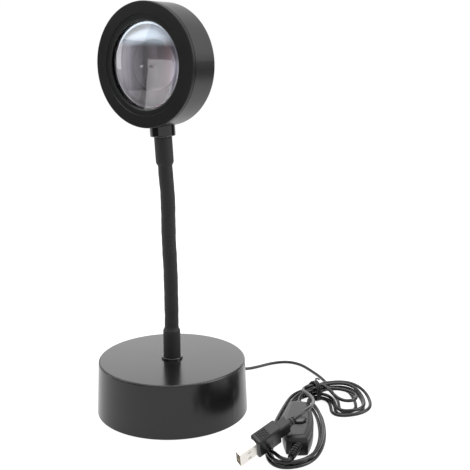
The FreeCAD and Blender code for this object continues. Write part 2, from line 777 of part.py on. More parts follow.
plug_lead_points = [
    tuple(relief_tip(1)), tuple(relief_tip(1, 5.0)), (69.6, 53.6, 7.4), (72.0, 60.4, 8.0),
    (77.0, 67.4, 8.2), (84.0, 72.8, 8.0), (91.6, 76.0, 7.2), (98.4, 74.6, 6.8), (102.4, 69.4, 6.7),
    (102.0, 63.0, 6.8), (97.0, 59.2, 7.2), (90.4, 60.8, 8.2), (83.6, 65.2, 9.8), (77.6, 67.4, 11.0),
    (73.0, 63.6, 11.2), (69.8, 57.8, 11.2), (70.6, 51.4, 11.5), (75.4, 46.4, 12.4), (82.4, 41.2, 13.8),
    (89.8, 31.8, 16.6), (96.6, 19.6, 20.2), (101.8, 7.4, 23.4), tuple(plug_local(plug_tail + 7.0)),
    tuple(plug_local(plug_tail)),
]


# Twist tie round the hank's waist

def twist_tie():
    """A flat band round the waist's strands, with its two ends twisted together."""
    middle = Vector(71.6, 65.1, 0)
    way = Vector(math.cos(math.radians(63)), math.sin(math.radians(63)), 0)
    half = 8.3
    low, high = floor_gap, 13.4
    inner = block((tie_width + 2, 2 * half, high - low - 2 * tie_thickness), (0, 0, (low + high) / 2))
    outer = block((tie_width, 2 * half + 2 * tie_thickness, high - low), (0, 0, (low + high) / 2))
    outer = outer.makeFillet(1.6, [e for e in outer.Edges if e.BoundBox.XLength > tie_width * 0.9])
    inner = inner.makeFillet(0.9, [e for e in inner.Edges if e.BoundBox.XLength > tie_width * 0.9])
    tail = rod(0.9, 8.0, (0, half * 0.4, high - 0.4), (0.55, 0.2, 0.5))
    band = outer.cut(inner).fuse(tail)
    band.Placement = Placement(middle, Rotation(Vector(1, 0, 0), way))
    return band


# Switch, in its own frame: X along its length to the far end, Z up from the table

def switch_outline(inset):
    half, end, side = switch_length / 2 - inset, switch_end_width / 2 - inset, switch_width / 2 - inset
    tip = half + switch_bulge
    edges = [Part.Arc(Vector(-half, -end, 0), Vector(0, -side, 0), Vector(half, -end, 0)).toShape(),
             Part.Arc(Vector(half, -end, 0), Vector(tip, 0, 0), Vector(half, end, 0)).toShape(),
             Part.Arc(Vector(half, end, 0), Vector(0, side, 0), Vector(-half, end, 0)).toShape(),
             Part.Arc(Vector(-half, end, 0), Vector(-tip, 0, 0), Vector(-half, -end, 0)).toShape()]
    return Part.Face(Part.Wire(edges))


switch_split = floor_gap + switch_height * 0.5
relief_plug = 4.0


def switch_relief_holes():
    return [rod(relief_radius - 0.6, 10, (side * (switch_length / 2 - 4), 0, switch_axis_height), (side, 0, 0))
            for side in (-1, 1)]


def switch_lower_shell():
    outside = switch_outline(0).extrude(Vector(0, 0, switch_split - floor_gap))
    bottom = [e for e in outside.Edges if e.BoundBox.ZMax < 1e-6]
    outside = outside.makeFillet(1.2, bottom)
    outside.translate(Vector(0, 0, floor_gap))
    inside = switch_outline(switch_wall).extrude(Vector(0, 0, switch_height))
    inside.translate(Vector(0, 0, floor_gap + switch_wall))
    posts = [rod(2.0, switch_split - floor_gap - 0.2, (x, 0, floor_gap + 0.1)) for x in (-17.0, 19.0)]
    shell = outside.cut(inside).fuse(posts)
    holes = [rod(1.05, 20, (x, 0, -1)) for x in (-17.0, 19.0)]
    sinks = [rod(1.8, 1.02, (x, 0, floor_gap - 0.01)) for x in (-17.0, 19.0)]
    return shell.cut(holes + sinks + switch_relief_holes())


def switch_upper_shell():
    height = floor_gap + switch_height - switch_split
    outside = switch_outline(0).extrude(Vector(0, 0, height))
    top = [e for e in outside.Edges if e.BoundBox.ZMin > height - 1e-6]
    outside = outside.makeFillet(switch_fillet, top)
    outside.translate(Vector(0, 0, switch_split + 0.02))
    inside = switch_outline(switch_wall + 0.6).extrude(Vector(0, 0, height - switch_wall + 0.5))
    inside.translate(Vector(0, 0, switch_split - 0.5))
    top_z = floor_gap + switch_height
    posts = [rod(2.0, top_z - switch_split - 0.8, (x, 0, switch_split + 0.02)) for x in (-17.0, 19.0)]
    hole = rod(button_radius + clearance, 6, (button_offset, 0, top_z - 4))
    dish = Part.makeCone(button_radius + clearance, button_radius + 1.5, 0.9, Vector(button_offset, 0, top_z - 0.88))
    shell = outside.cut(inside).fuse(posts)
    pilots = [rod(0.75, 5.0, (x, 0, switch_split - 0.1)) for x in (-17.0, 19.0)]
    return shell.cut([hole, dish] + pilots + switch_relief_holes())


def switch_screws():
    return Part.makeCompound([screw((x, 0, floor_gap + 1.0), (0, 0, 1), 0.72, 9.0, 1.6, 0.8)
                              for x in (-17.0, 19.0)])


button_top = floor_gap + switch_height + button_proud
button_collar = floor_gap + switch_height - switch_wall - 0.3


def switch_button():
    cap = rod(button_radius, button_top - button_collar + 0.9, (button_offset, 0, button_collar - 0.9))
    top = [e for e in cap.Edges if e.BoundBox.ZMin > button_top - 1e-6]
    cap = cap.makeFillet(0.7, top)
    dish = Part.makeSphere(24.0, Vector(button_offset, 0, button_top + 23.6))
    lip = rod(button_radius + 1.0, 0.9, (button_offset, 0, button_collar - 0.9))
    bore = rod(2.4, 2.2, (button_offset, 0, button_collar - 1.0))
    return cap.fuse(lip).cut([dish, bore])


block_top = button_collar - 0.9 - button_travel - 1.9


def switch_contact_block():
    """The latching block that the button presses, on the lower shell's floor."""
    floor = floor_gap + switch_wall
    body = block((12.0, 8.0, block_top - floor - 0.05), (button_offset, 0, (floor + 0.05 + block_top) / 2))
    pins = [block((1.0, 2.4, 1.6), (button_offset + side * 6.4, 0, floor + 1.6)) for side in (-1, 1)]
    guide = rod(1.3, 1.0, (button_offset, 0, block_top - 0.05))
    return body.fuse(pins + [guide])


def switch_spring():
    """A small compression spring between the block and the button."""
    height = (button_collar - 0.9 + 1.1) - block_top - 0.1
    turns, wire = 4, 0.22
    stations = []
    for i in range(turns * 4 + 1):
        angle = math.radians(90.0 * i)
        rise = wire + (height - 2 * wire) * i / (turns * 4)
        at = Vector(1.95 * math.cos(angle), 1.95 * math.sin(angle), rise)
        slope = (height - 2 * wire) / (turns * 2 * math.pi * 1.95)
        stations.append((at, Vector(-math.sin(angle), math.cos(angle), slope).normalize()))
    spring = swept(biarc_wire(stations), wire)
    spring.translate(Vector(button_offset, 0, block_top + 0.05))
    return spring


def ribbed_relief(length, radius, tip_radius, ribs):
    """A tapered sleeve along +X with ring grooves between its ribs, bored for the cord."""
    body = Part.makeCone(radius, tip_radius, length, Vector(0, 0, 0), Vector(1, 0, 0))
    pitch = length / (ribs + 0.5)
    grooves = []
    for i in range(ribs):
        at = pitch * (i + 0.75)
        local = radius + (tip_radius - radius) * at / length
        grooves.append(tube(radius + 1, local - 0.7, pitch * 0.42, (at, 0, 0), (1, 0, 0)))
    bore = rod(cord_radius + 0.02, length + 2, (-1, 0, 0), (1, 0, 0))
    return body.cut(grooves + [bore])


def switch_relief(side):
    length, bend = near_relief if side < 0 else far_relief
    body = ribbed_relief(length, relief_radius, cord_radius + relief_tip_wall, relief_ribs)
    body.rotate(Vector(0, 0, 0), Vector(0, 0, 1), bend)
    root = rod(relief_radius - 0.65, relief_plug + 0.6, (-relief_plug, 0, 0), (1, 0, 0))
    collar = rod(relief_radius + 0.3, 0.9, (-relief_plug, 0, 0), (1, 0, 0))
    elbow = Part.makeSphere(relief_radius - 0.1)
    outside = block((2 * length, 2 * length, 2 * length), (length + 0.02, 0, 0))
    bore = rod(cord_radius + 0.02, relief_plug + 2, (-relief_plug - 1, 0, 0), (1, 0, 0))
    piece = body.fuse(elbow).common(outside).fuse([root, collar]).cut(bore)
    piece.translate(Vector(switch_reach, 0, 0))
    piece.rotate(Vector(0, 0, 0), Vector(0, 0, 1), 0 if side > 0 else 180)
    piece.translate(Vector(0, 0, switch_axis_height))
    return piece


def switch_reliefs():
    return Part.makeCompound([switch_relief(-1), switch_relief(1)])


# Plug, in its own frame: X to the tip from the moulded body's front face

def to_plug(shape):
    placed = shape.copy()
    placed.Placement = plug_place.multiply(placed.Placement)
    return placed


def plug_body():
    length, thick, wide = plug_block
    main = block((length, thick, wide), (-length / 2, 0, 0))
    main = main.makeFillet(1.1, main.Edges)
    n_length, n_thick, n_wide = plug_neck
    neck = block((n_length + 2, n_thick, n_wide), (-length - n_length / 2 + 1, 0, 0))
    neck = neck.makeFillet(1.0, [e for e in neck.Edges if e.BoundBox.XLength > n_length])
    grips = [block((0.6, 0.5, 5.0), (-5.0 - 1.5 * k, side * thick / 2, 0)) for k in range(4) for side in (-1, 1)]
    s_length, s_thick, s_wide = plug_shell_size
    socket = block((6.0, s_thick + 0.1, s_wide + 0.1), (-1.0, 0, 0))
    bore = rod(cord_radius + 0.02, length + n_length, (-length - n_length - 1, 0, 0), (1, 0, 0))
    return joined([main.fuse(neck).cut(grips + [socket, bore]), plug_relief()])


def plug_shell():
    length, thick, wide = plug_shell_size
    root = 3.5
    tube_out = block((length + root, thick, wide), ((length - root) / 2, 0, 0))
    tube_out = tube_out.makeFillet(0.5, [e for e in tube_out.Edges if e.BoundBox.XLength > length])
    tube_in = block((length + root + 2, thick - 2 * plug_sheet, wide - 2 * plug_sheet), ((length - root) / 2, 0, 0))
    windows = [block((2.2, thick + 2, 2.4), (length - 6.4, 0, side * 2.8)) for side in (-1, 1)]
    return tube_out.cut([tube_in] + windows)


def plug_insulator():
    length, thick, wide = plug_shell_size
    root = block((3.0, thick - 2 * plug_sheet - 0.1, wide - 2 * plug_sheet - 0.1), (-2.0, 0, 0))
    tongue = block((length - 0.6, 1.8, wide - 2 * plug_sheet - 0.1), ((length - 1.6) / 2 - 0.5, 0.95, 0))
    return root.fuse(tongue)


def plug_contacts():
    strips = [block((7.5, 0.2, 1.0), (5.6, -0.07, z)) for z in (-3.5, -1.0, 1.0, 3.5)]
    return Part.makeCompound(strips)


def plug_relief():
    piece = ribbed_relief(plug_relief_length, 2.9, cord_radius + 0.8, 2)
    piece.rotate(Vector(0, 0, 0), Vector(0, 0, 1), 180)
    piece.translate(Vector(-plug_block[0] - plug_neck[0], 0, 0))
    return piece


base_lead_points = [
    (0, grommet_end, cord_height), (0, 33.5, cord_height), (0, 26.0, cord_height + 1.6), (0, 15.0, cord_height + 1.9),
    (0, 7.0, cord_height + 3.0), (0, 1.9, cord_height + 6.8), (0, 0, cord_height + 11.4),
    (0, 0, base_inside_top - lower_stud - 1.0),
]

base_pieces = {
    "base_shell": base_shell, "base_bottom_cover": base_bottom_cover, "foot_pad": foot_pad,
    "bottom_cover_screws": cover_screws, "base_weight": base_weight, "cord_grommet": cord_grommet,
    "cord_clamp": cord_clamp, "cord_clamp_screws": cord_clamp_screws, "neck_base_ring": neck_base_ring,
    "neck_lock_nut": neck_lock_nut, "neck_lock_washer": neck_lock_washer,
    "neck_lower_ferrule": neck_lower_ferrule, "neck_upper_ferrule": neck_upper_ferrule,
    "neck_sleeve": neck_sleeve, "twist_tie": twist_tie,
}
head_pieces = {
    "head_housing": head_housing, "head_rear_cover": head_rear_cover, "head_bezel": head_bezel,
    "head_collar": head_collar, "neck_head_nut": neck_head_nut, "lens": lens, "lens_seal": lens_seal,
    "lens_barrel": lens_barrel, "reflector": reflector, "sunset_filter": sunset_filter,
    "filter_holder": filter_holder, "led_heatsink": led_heatsink, "heatsink_screws": heatsink_screws,
    "led_board": led_board, "led_chip": led_chip, "led_board_screws": led_board_screws,
}
switch_pieces = {
    "switch_lower_shell": switch_lower_shell, "switch_upper_shell": switch_upper_shell,
    "switch_screws": switch_screws, "switch_button": switch_button,
    "switch_contact_block": switch_contact_block, "switch_spring": switch_spring,
    "switch_reliefs": switch_reliefs,
}
plug_pieces = {
    "plug_body": plug_body, "plug_shell": plug_shell, "plug_insulator": plug_insulator,
    "plug_contacts": plug_contacts,
}

os.makedirs("parts", exist_ok=True)
for name, make in base_pieces.items():
    save(name, make())
for i in range(joint_count - 1):
    save("neck_coil_%02d" % (i + 1), coil_section(i))
for name, make in head_pieces.items():
    save(name, to_head(make()))
for name, make in switch_pieces.items():
    save(name, to_switch(make()))
for name, make in plug_pieces.items():
    save(name, to_plug(make()))

save("neck_wire", checked_tube(neck_wire_route(), wire_radius, "neck_wire"))
save("head_lead", to_head(checked_tube(rounded_route(head_lead_route(), "head_lead"), wire_radius, "head_lead")))
save("base_lead", checked_tube(rounded_route(base_lead_points, "base_lead"), cord_radius, "base_lead"))
free_wire = rounded_route(cord_free_points, "cord_free_run")
save("cord_free_run", checked_tube(free_wire, cord_radius, "cord_free_run"))
hank_wire = biarc_wire(hank_path)
least_gap(hank_wire, cord_radius, "cord_hank")
save("cord_hank", checked_tube(hank_wire, cord_radius, "cord_hank"))
switch_wire = rounded_route(switch_lead_points, "switch_lead")
save("switch_lead", checked_tube(switch_wire, cord_radius, "switch_lead"))
plug_wire = rounded_route(plug_lead_points, "plug_lead")
least_gap(plug_wire, cord_radius, "plug_lead")
save("plug_lead", checked_tube(plug_wire, cord_radius, "plug_lead"))
total = free_wire.Length + hank_wire.Length + switch_wire.Length + plug_wire.Length
print("cord from the base to the plug:", round(total), "mm")
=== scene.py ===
import json

import bpy
import numpy as np
from mathutils import Matrix


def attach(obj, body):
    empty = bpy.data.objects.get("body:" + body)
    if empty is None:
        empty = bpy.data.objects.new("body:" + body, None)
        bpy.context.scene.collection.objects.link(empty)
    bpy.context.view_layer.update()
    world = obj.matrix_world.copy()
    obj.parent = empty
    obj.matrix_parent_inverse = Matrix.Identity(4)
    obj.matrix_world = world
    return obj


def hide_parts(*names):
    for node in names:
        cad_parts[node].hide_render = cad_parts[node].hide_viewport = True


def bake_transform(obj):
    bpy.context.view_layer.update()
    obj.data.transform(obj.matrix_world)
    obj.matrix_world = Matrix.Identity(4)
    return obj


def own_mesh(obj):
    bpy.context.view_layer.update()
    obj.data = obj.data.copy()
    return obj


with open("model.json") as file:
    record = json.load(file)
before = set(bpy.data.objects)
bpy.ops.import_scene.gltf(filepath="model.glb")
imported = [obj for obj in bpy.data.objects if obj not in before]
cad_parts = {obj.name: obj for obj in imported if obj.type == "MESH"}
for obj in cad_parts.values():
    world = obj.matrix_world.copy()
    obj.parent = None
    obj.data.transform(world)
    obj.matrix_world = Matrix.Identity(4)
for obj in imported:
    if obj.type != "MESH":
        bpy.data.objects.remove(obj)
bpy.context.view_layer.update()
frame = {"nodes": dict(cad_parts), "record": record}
print("frame loaded")

mm = 0.001

# the camera's place, directions and focal length come from a fit to the photograph, made outside this script
view = {"place": (0.3351, -0.4171, 0.2401), "right": (0.8261, 0.5635, 0.0),
        "up": (-0.1248, 0.1830, 0.9752), "focalPixels": 850.0, "imagePixels": 470.0}

cameraData = bpy.data.cameras.new("studioCamera")
cameraData.sensor_width = 36.0
cameraData.lens = 36.0 * view["focalPixels"] / view["imagePixels"]
cameraData.clip_start = 0.01
camera = bpy.data.objects.new("studioCamera", cameraData)
bpy.context.collection.objects.link(camera)
right = np.array(view["right"]) / np.linalg.norm(view["right"])
up = np.array(view["up"]) - right * np.dot(view["up"], right)
up /= np.linalg.norm(up)
turned = np.eye(4)
turned[:3, 0], turned[:3, 1], turned[:3, 2] = right, up, np.cross(right, up)
turned[:3, 3] = view["place"]
camera.matrix_world = Matrix(turned.tolist())
bpy.context.scene.camera = camera

# cords: the routes' points, as in the model, in millimetres
cordSize = {"diameter": 2.2, "floorGap": 0.1, "layerStep": 2.9, "hankTurns": 2.0,
            "switchCentre": (91.2, 10.0), "switchHeading": 119.2, "switchReach": 27.2,
            "switchAxisHeight": 6.35, "nearRelief": (13.5, -13.2), "farRelief": (9.0, 0.0),
            "plugFront": (88.6, -35.3, 10.6), "plugAxis": (-0.389, -0.846, -0.365),
            "plugAcross": (0.888, -0.240, -0.392), "leadIn": 8, "leadOut": 4.2, "nearPast": 3.2,
            "farPast": 5, "plugSag": 37, "plugEntry": 30}

# x, y, heading, step of the lower turns, step of the upper turns, lift, and how far the point stands out;
# the last of these was fitted to the model's route by least squares, outside this script
hankStations = [
    (99.0, 45.0, 2.0, 6.0, 7.0, 0.0, 4.8), (114.5, 62.0, 92.0, 6.0, 4.8, 0.0, 3.4),
    (102.0, 85.0, 145.0, 5.6, 4.4, 0.6, 1.4), (86.0, 91.0, 188.0, 4.6, 3.4, 2.7, 2.2),
    (71.5, 79.5, 230.0, 3.0, 2.8, 2.9, 0.9), (66.8, 70.5, 252.0, 2.8, 2.8, 1.0, -0.2),
    (61.5, 57.0, 260.0, 2.9, 2.9, 0.9, 1.1), (64.0, 39.0, 286.0, 2.9, 2.9, 0.0, 0.9),
    (86.0, -20.5, 301.0, 2.9, 2.9, 0.0, 2.5), (103.5, -34.0, 352.0, 3.4, 3.4, 0.0, 3.7),
    (116.5, -19.5, 93.0, 2.8, 2.8, 0.0, 2.3), (111.0, 9.5, 112.0, 2.8, 2.8, 0.0, 1.2),
    (91.0, 41.5, 131.0, 3.0, 3.0, 0.0, 1.3), (76.2, 56.4, 121.0, 2.8, 2.8, 1.0, -1.7),
    (76.6, 62.6, 50.0, 2.8, 2.8, 1.0, -2.3), (83.8, 63.0, 316.0, 3.0, 3.0, 0.4, -1.5)]


def headingWay(degrees):
    return np.array([np.cos(np.radians(degrees)), np.sin(np.radians(degrees))])


def hankPoint(number):
    # a station, set inwards by one step for each turn and raised by one layer after the second turn
    x, y, heading, lowStep, highStep, lift, outset = hankStations[number % len(hankStations)]
    turn = number / len(hankStations)
    share = 2.0 / len(hankStations)
    climb = min(max((turn - cordSize["hankTurns"] + share) / (2 * share), 0.0), 1.0)
    inwards = abs(cordSize["hankTurns"] - turn) * (lowStep if turn < cordSize["hankTurns"] else highStep)
    way = headingWay(heading)
    level = cordSize["diameter"] / 2 + cordSize["floorGap"] + lift + cordSize["layerStep"] * climb
    return np.array([x - way[1] * (inwards - outset), y + way[0] * (inwards - outset), level])


def switchPoint(along, across, height):
    way = headingWay(cordSize["switchHeading"])
    x, y = cordSize["switchCentre"]
    return np.array([x + along * way[0] - across * way[1], y + along * way[1] + across * way[0], height])


def reliefTip(side, past=0.0):
    length, bend = cordSize["nearRelief"] if side < 0 else cordSize["farRelief"]
    way = headingWay(bend)
    return switchPoint(side * (cordSize["switchReach"] + (length + past) * way[0]),
                       side * (length + past) * way[1], cordSize["switchAxisHeight"])


def plugPoint(along):
    return np.array(cordSize["plugFront"]) - np.array(cordSize["plugAxis"]) * along


hankFirst, hankLast = -1, 56
hankPoints = [hankPoint(number) for number in range(hankFirst, hankLast + 1)]
hankWayIn, hankWayOut = (np.append(headingWay(hankStations[number % len(hankStations)][2]), 0.0)
                         for number in (hankFirst, hankLast))
runPoints = [(0, 55.95, 9), (0, 62.5, 9), (1.6, 71.5, 5.4), (5, 80.5, 1.6), (9.8, 91.5, 1.2),
             (14, 103, 1.2), (22, 112.6, 1.2), (33.5, 113.4, 1.2), (46, 107, 1.2), (58, 99.8, 1.2),
             (69, 91, 1.2), (76.6, 82, 1.2), hankPoints[0] - hankWayIn * cordSize["leadIn"]]
runPoints += hankPoints
runPoints += [hankPoints[-1] + hankWayOut * cordSize["leadOut"], (95.7, -25.6, 5.2), (100.2, -29.4, 6.3),
              (104.4, -32, 6.8), (107.9, -31.8, 6.8), reliefTip(-1, cordSize["nearPast"]), reliefTip(-1)]
plugLeadPoints = [reliefTip(1), reliefTip(1, cordSize["farPast"]), (69.6, 53.6, 7.4), (72, 60.4, 8),
                  (77, 67.4, 8.2),
                  (84, 72.8, 8), (91.6, 76, 7.2), (98.4, 74.6, 6.8), (102.4, 69.4, 6.7), (102, 63, 6.8),
                  (97, 59.2, 7.2), (90.4, 60.8, 8.2), (83.6, 65.2, 9.8), (77.6, 67.4, 11),
                  (73, 63.6, 11.2), (69.8, 57.8, 11.2), (70.6, 51.4, 11.5), (75.4, 46.4, 12.4),
                  (82.4, 41.2, 13.8), (89.8, 31.8, 16.6), (96.6, 19.6, 20.2), (101.8, 7.4, 23.4),
                  plugPoint(cordSize["plugSag"]), plugPoint(cordSize["plugEntry"])]


def cordCurve(name, points, diameter):
    # one open spline of order 3 with the route's points as its control points; its radius is
    # the bevel of 0.5 times each point's radius, which also keeps the curve's box tight
    curve = bpy.data.curves.new(name, "CURVE")
    curve.dimensions = "3D"
    curve.bevel_depth = 0.5
    curve.bevel_resolution = 4
    curve.use_fill_caps = True
    spline = curve.splines.new("NURBS")
    spline.points.add(len(points) - 1)
    places = np.ones((len(points), 4))
    places[:, :3] = np.array([tuple(point) for point in points]) * mm
    spline.points.foreach_set("co", places.ravel())
    spline.points.foreach_set("radius", np.full(len(points), diameter * mm))
    spline.order_u = 3
    spline.use_endpoint_u = True
    spline.resolution_u = 12
    curve.resolution_u = 12
    piece = bpy.data.objects.new(name, curve)
    bpy.context.collection.objects.link(piece)
    return piece


mainsRun = cordCurve("cordRun", runPoints, cordSize["diameter"])
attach(mainsRun, "base")
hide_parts("cord_free_run", "cord_hank", "switch_lead")
plugLead = cordCurve("cordPlugLead", plugLeadPoints, cordSize["diameter"])
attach(plugLead, "base")
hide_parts("plug_lead")
print("cords laid")


class Link:
    # an output socket; + - * / on it add Math nodes
    def __init__(self, graph, socket):
        self.graph, self.socket = graph, socket

    def maths(self, operation, *values):
        return self.graph.add("ShaderNodeMath", {"operation": operation}, dict(enumerate(values)))

    def __add__(self, other):
        return self.maths("ADD", self, other)

    def __sub__(self, other):
        return self.maths("SUBTRACT", self, other)

    def __mul__(self, other):
        return self.maths("MULTIPLY", self, other)

    def __truediv__(self, other):
        return self.maths("DIVIDE", self, other)

    def most(self, other):
        return self.maths("MAXIMUM", self, other)

    __radd__, __rmul__ = __add__, __mul__


class Graph:
    def __init__(self, tree):
        self.tree = tree
        tree.nodes.clear()

    def add(self, kind, settings=None, inputs=None, output=0):
        node = self.tree.nodes.new(kind)
        for key, value in (settings or {}).items():
            if key == "stops":
                elements = node.color_ramp.elements
                elements[0].position, elements[-1].position = value[0][0], value[-1][0]
                for place, colour in value[1:-1]:
                    elements.new(place).color = (*colour, 1)
                elements[0].color, elements[-1].color = (*value[0][1], 1), (*value[-1][1], 1)
            else:
                setattr(node, key, value)
        for key, value in (inputs or {}).items():
            if isinstance(value, Link):
                self.tree.links.new(value.socket, node.inputs[key])
            else:
                node.inputs[key].default_value = value
        return Link(self, node.outputs[output]) if node.outputs else node

    def here(self):
        return self.add("ShaderNodeTexCoord", output="Object")

    def coordinate(self, axis):
        return self.add("ShaderNodeSeparateXYZ", None, {0: self.here()}, axis)

    def stretched(self, scale):
        return self.add("ShaderNodeMapping", None, {"Vector": self.here(), "Scale": scale})

    def noise(self, scale, detail=3.0, at=None):
        return self.add("ShaderNodeTexNoise", None,
                        {"Vector": at or self.here(), "Scale": scale, "Detail": detail})

    def ramp(self, factor, stops):
        return self.add("ShaderNodeValToRGB", {"stops": stops}, {0: factor})

    def mixed(self, factor, first, second):
        return self.add("ShaderNodeMix", {"data_type": "RGBA"}, {0: factor, 6: first, 7: second}, 2)

    def bump(self, height, distance, strength=1.0):
        return self.add("ShaderNodeBump", None,
                        {"Height": height, "Distance": distance, "Strength": strength})


def finishOf(name, colour, roughness, metallic=0.0, cloudScale=45.0, shade=0.18, glossSpread=0.08,
             grainScale=2600.0, grainDepth=0.00002, fixed=None, build=None):
    # clouds shift the colour and the gloss a little, and a fine grain raises the surface
    made = bpy.data.materials.new(name)
    made.use_nodes = True
    graph = Graph(made.node_tree)
    clouds = graph.noise(cloudScale, 4.0)
    grain = graph.noise(grainScale, 2.0)
    dark = tuple(part * (1 - shade) for part in colour) + (1.0,)
    light = tuple(min(part * (1 + shade), 1.0) for part in colour) + (1.0,)
    inputs = {"Base Color": graph.mixed(clouds, dark, light),
              "Roughness": roughness + glossSpread * (clouds - 0.5) + 0.04 * (grain - 0.5),
              "Metallic": metallic, "Normal": graph.bump(grain, grainDepth)}
    inputs.update(fixed or {})
    if build:
        inputs.update(build(graph, clouds, grain))
    shader = graph.add("ShaderNodeBsdfPrincipled", None, inputs)
    graph.add("ShaderNodeOutputMaterial", None, {"Surface": shader})
    return made


def sleeveDetail(graph, clouds, grain):
    # faint rings of the wound tube underneath, and dust in the matt skin
    phase = graph.coordinate(2) * 2900.0
    rings = phase.maths("SINE", phase)
    lint = graph.noise(900.0, 6.0)
    height = grain * 0.5 + rings * 0.12 + graph.noise(160.0) * 0.9
    return {"Normal": graph.bump(height, 0.00012, 0.8),
            "Roughness": 0.56 + 0.16 * lint + 0.1 * (clouds - 0.5)}


def jacketDetail(graph, clouds, grain):
    # extruded plastic: slight waves along the cord and small scuffs
    scuffs = graph.ramp(graph.noise(320.0, 6.0), [(0.45, (0, 0, 0)), (0.75, (1, 1, 1))])
    return {"Roughness": 0.2 + 0.12 * scuffs + 0.08 * (clouds - 0.5),
            "Normal": graph.bump(grain * 0.15 + graph.noise(220.0) * 0.85, 0.00003)}


def boardDetail(graph, clouds, grain):
    # white solder mask over tracks
    bricks = graph.add("ShaderNodeTexBrick", None,
                       {"Vector": graph.here(), "Scale": 190.0, "Mortar Size": 0.05}, 1)
    return {"Base Color": graph.mixed(bricks, (0.82, 0.83, 0.8, 1), (0.6, 0.62, 0.6, 1)),
            "Normal": graph.bump(bricks, 0.00003)}


def brushedDetail(scale):
    def detail(graph, clouds, grain):
        # short scratches along one way of the sheet
        brushed = graph.noise(1.0, 5.0, graph.stretched(scale))
        return {"Roughness": 0.2 + 0.2 * brushed, "Normal": graph.bump(brushed, 0.00001)}
    return detail


def glassDetail(graph, clouds, grain):
    # a trace of dust and polishing haze
    haze = graph.ramp(graph.noise(700.0, 8.0), [(0.62, (0, 0, 0)), (0.85, (1, 1, 1))])
    return {"Roughness": 0.015 + 0.06 * haze, "Normal": graph.bump(clouds, 0.000004)}


# painted reflections behind the lens, on the filter and the bowl: metres from the middle and above the table,
# and colours across the drum
paintedLensReflection = {"left": -0.02635, "width": 0.044, "reflectionStreak": 0.26, "paleReflectionFrom": 0.2365, "paleReflectionTo": 0.2425,
            "across": [(0.0, (0.45, 0.42, 0.46)), (0.2, (0.16, 0.145, 0.165)), (0.36, (0.02, 0.013, 0.018)),
                       (0.5, (0.06, 0.045, 0.055)), (0.56, (0.015, 0.01, 0.015)),
                       (0.7, (0.05, 0.02, 0.027)), (0.84, (0.2, 0.19, 0.23)), (1.0, (0.85, 0.85, 0.92))]}


def paintedReflectionBehindLens(pale):
    def detail(graph, clouds, grain):
        # painted reflection: dark in the middle, grey at the sides, pale at the top, with upright streaks
        reflectionStreaks = graph.noise(1.0, 2.0, graph.stretched((260, 260, 16)))
        across = ((graph.coordinate(0) - paintedLensReflection["left"]) / paintedLensReflection["width"]
                  + paintedLensReflection["reflectionStreak"] * (reflectionStreaks - 0.5))
        top = graph.add("ShaderNodeMapRange", None,
                        {0: graph.coordinate(2), 1: paintedLensReflection["paleReflectionFrom"], 2: paintedLensReflection["paleReflectionTo"],
                         3: 0.0, 4: 1.0})
        return {"Base Color": graph.mixed(top, graph.ramp(across, paintedLensReflection["across"]), (*pale, 1))}
    return detail


finishes = {
    "black_enamel": finishOf("blackEnamel", (0.007, 0.007, 0.0073), 0.22, grainScale=1500.0,
                             grainDepth=0.000006, glossSpread=0.05,
                             fixed={"Specular IOR Level": 0.42, "Coat Roughness": 0.1}),
    "bezel_black": finishOf("bezelBlack", (0.005, 0.005, 0.0053), 0.38, grainScale=2600.0, grainDepth=0.00001,
                            fixed={"Specular IOR Level": 0.3}),
    "collar_black": finishOf("collarGloss", (0.01, 0.01, 0.0105), 0.13, grainScale=900.0, grainDepth=0.00001),
    "sleeve_silicone": finishOf("sleeveSilicone", (0.008, 0.008, 0.0084), 0.6, build=sleeveDetail,
                                fixed={"Sheen Weight": 0.03, "Sheen Roughness": 0.5,
                                       "Specular IOR Level": 0.36}),
    "cord_jacket": finishOf("cordJacket", (0.007, 0.007, 0.0073), 0.24, build=jacketDetail,
                            fixed={"Specular IOR Level": 0.4}),
    "moulded_black": finishOf("mouldedBlack", (0.012, 0.012, 0.0124), 0.34, grainScale=2300.0,
                              grainDepth=0.000012, fixed={"Specular IOR Level": 0.34}),
    "pad_rubber": finishOf("padRubber", (0.03, 0.03, 0.03), 0.78, grainScale=1300.0, grainDepth=0.00015),
    "inner_plastic": finishOf("innerPlastic", (0.03, 0.03, 0.031), 0.5),
    "insulator_white": finishOf("insulatorWhite", (0.78, 0.78, 0.75), 0.42, shade=0.05),
    "board_white": finishOf("boardWhite", (0.82, 0.82, 0.8), 0.36, build=boardDetail),
    "led_phosphor": finishOf("ledPhosphor", (0.85, 0.68, 0.14), 0.3, shade=0.06),
    "clear_lens": finishOf("clearLens", (0.97, 0.98, 1.0), 0.02, shade=0.01, build=glassDetail,
                           fixed={"Transmission Weight": 1.0, "IOR": 1.5}),
    # the sunset filter and the mirror bowl: their colour is a painted reflection, dark in the middle and pale
    # at the top, not their own colour
    "sunset_glass": finishOf("sunsetGlassPaintedReflection", (0.1, 0.05, 0.08), 0.3, 0.9, build=paintedReflectionBehindLens((0.4, 0.5, 0.58)),
                             fixed={"Coat Weight": 0.4}),
    "mirror_bowl": finishOf("mirrorBowlPaintedReflection", (0.34, 0.31, 0.37), 0.34, 1.0, build=paintedReflectionBehindLens((0.8, 0.9, 1.0))),
    "steel": finishOf("nickelSteel", (0.56, 0.56, 0.57), 0.3, 1.0, build=brushedDetail((900, 900, 90))),
    "weight_iron": finishOf("castIron", (0.1, 0.1, 0.1), 0.7, 0.6, grainScale=700.0, grainDepth=0.0003),
    "heatsink_aluminium": finishOf("heatsinkAluminium", (0.74, 0.74, 0.76), 0.35, 1.0,
                                   build=brushedDetail((90, 900, 900))),
    "plug_steel": finishOf("plugSteel", (0.78, 0.75, 0.7), 0.24, 1.0, build=brushedDetail((1400, 180, 180))),
    "contact_brass": finishOf("contactBrass", (0.86, 0.62, 0.26), 0.2, 1.0),
    "tie_black": finishOf("tieBlack", (0.016, 0.016, 0.016), 0.36, grainScale=1200.0, grainDepth=0.00003),
}


def dress(piece, slot):
    piece.data.materials.append(finishes[slot])


